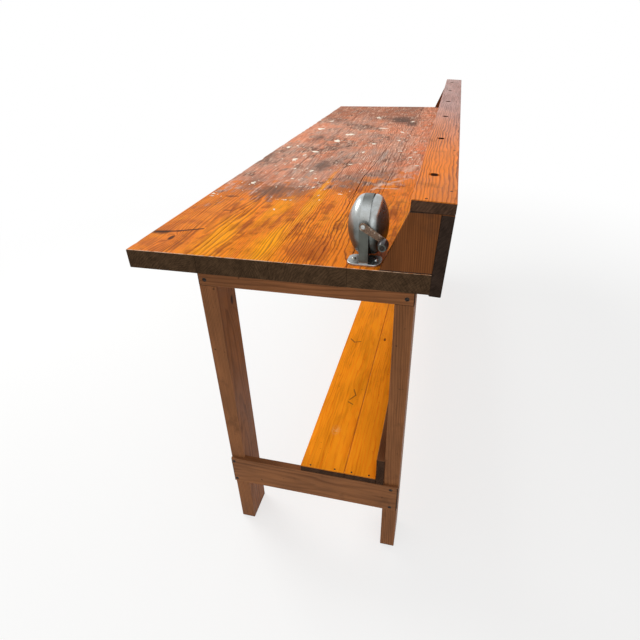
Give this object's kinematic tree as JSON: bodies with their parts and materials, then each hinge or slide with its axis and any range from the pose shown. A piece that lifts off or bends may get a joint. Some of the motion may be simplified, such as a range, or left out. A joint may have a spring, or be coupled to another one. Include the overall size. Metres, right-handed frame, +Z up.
{
  "type": "carpenter's workbench",
  "caption": "Old softwood carpenter's workbench with a thick board top, lower shelf, leaning tool shelf at the back and a hand-cranked pencil sharpener.",
  "frame": {"origin": "on the floor, under the middle of the whole part's bounding box", "axes": "+X along the bench towards the end with the pencil sharpener, +Y towards the back with the tool shelf, +Z up"},
  "size_m": [1.918, 0.5998, 1.0384],
  "materials": {
    "bench_top_wood": "old varnished fir, worn grey-brown with paint spots",
    "frame_wood": "aged oiled fir",
    "back_wood": "dark aged fir",
    "tool_shelf_wood": "varnished fir, wavy grain",
    "lower_shelf_wood": "varnished fir, dented",
    "dark_screw_steel": "darkened steel",
    "nickel_plate": "worn nickel plate",
    "rusted_steel": "rusted plated steel",
    "knob_wood": "black painted wood",
    "bush_brass": "machined",
    "tool_steel": "oiled tool steel"
  },
  "bodies": {
    "bench": {"top_board_1": "bench_top_wood", "top_board_2": "bench_top_wood", "top_board_3": "bench_top_wood", "top_board_4": "bench_top_wood", "front_right_leg": "frame_wood", "front_left_leg": "frame_wood", "back_right_leg": "frame_wood", "back_left_leg": "frame_wood", "right_end_rail": "frame_wood", "left_end_rail": "frame_wood", "right_end_stretcher": "frame_wood", "left_end_stretcher": "frame_wood", "front_apron": "frame_wood", "back_apron": "frame_wood", "top_batten_1": "frame_wood", "top_batten_2": "frame_wood", "top_batten_3": "frame_wood", "top_batten_4": "frame_wood", "top_batten_5": "frame_wood", "front_shelf_board": "lower_shelf_wood", "back_shelf_board": "lower_shelf_wood", "rear_lower_rail": "lower_shelf_wood", "back_board": "back_wood", "tool_shelf": "tool_shelf_wood", "right_gusset": "back_wood", "left_gusset": "back_wood", "end_rail_screws": "dark_screw_steel", "stretcher_screws": "dark_screw_steel", "apron_screws": "dark_screw_steel", "batten_screws": "dark_screw_steel", "shelf_nails": "dark_screw_steel", "rear_rail_screws": "dark_screw_steel", "back_board_screws": "dark_screw_steel", "gusset_screws": "dark_screw_steel", "tool_shelf_nails": "dark_screw_steel", "sharpener_frame": "nickel_plate", "sharpener_front_shell": "nickel_plate", "crank_bush": "bush_brass", "ring_gear": "tool_steel", "pencil_guide": "nickel_plate", "base_screws": "nickel_plate"},
    "crank": {"cutter_carrier": "tool_steel", "crank_arm": "rusted_steel", "crank_screw": "rusted_steel", "knob_pin": "rusted_steel", "cutter_pins": "tool_steel"},
    "knob": {"crank_knob": "knob_wood", "knob_ferrule": "nickel_plate"},
    "upper_cutter_body": {"upper_cutter": "tool_steel"},
    "lower_cutter_body": {"lower_cutter": "tool_steel"},
    "cover": {"shavings_cover": "nickel_plate"}
  },
  "joints": [
    {"name": "crank_spin", "type": "hinge", "parent": "bench", "child": "crank", "pos_m": [0.87395, 0.1561, 0.985], "axis": [1, 0, 0], "continuous": true},
    {"name": "knob_spin", "type": "hinge", "parent": "crank", "child": "knob", "pos_m": [0.87395, 0.19186, 0.96222], "axis": [1, 0, 0], "continuous": true},
    {"name": "upper_cutter_spin", "type": "hinge", "parent": "crank", "child": "upper_cutter_body", "pos_m": [0.93338, 0.1561, 0.985], "axis": [0.9877, 0, -0.1564], "continuous": true},
    {"name": "lower_cutter_spin", "type": "hinge", "parent": "crank", "child": "lower_cutter_body", "pos_m": [0.93338, 0.1561, 0.985], "axis": [0.9877, 0, 0.1564], "continuous": true},
    {"name": "cover_slide", "type": "slide", "parent": "bench", "child": "cover", "axis": [0, 1, 0], "range_m": [0, 0.02]}
  ],
  "couplings": [
    {"joint": "upper_cutter_spin", "follows": "crank_spin", "ratio": -2.1667},
    {"joint": "lower_cutter_spin", "follows": "crank_spin", "ratio": -2.1667}
  ]
}
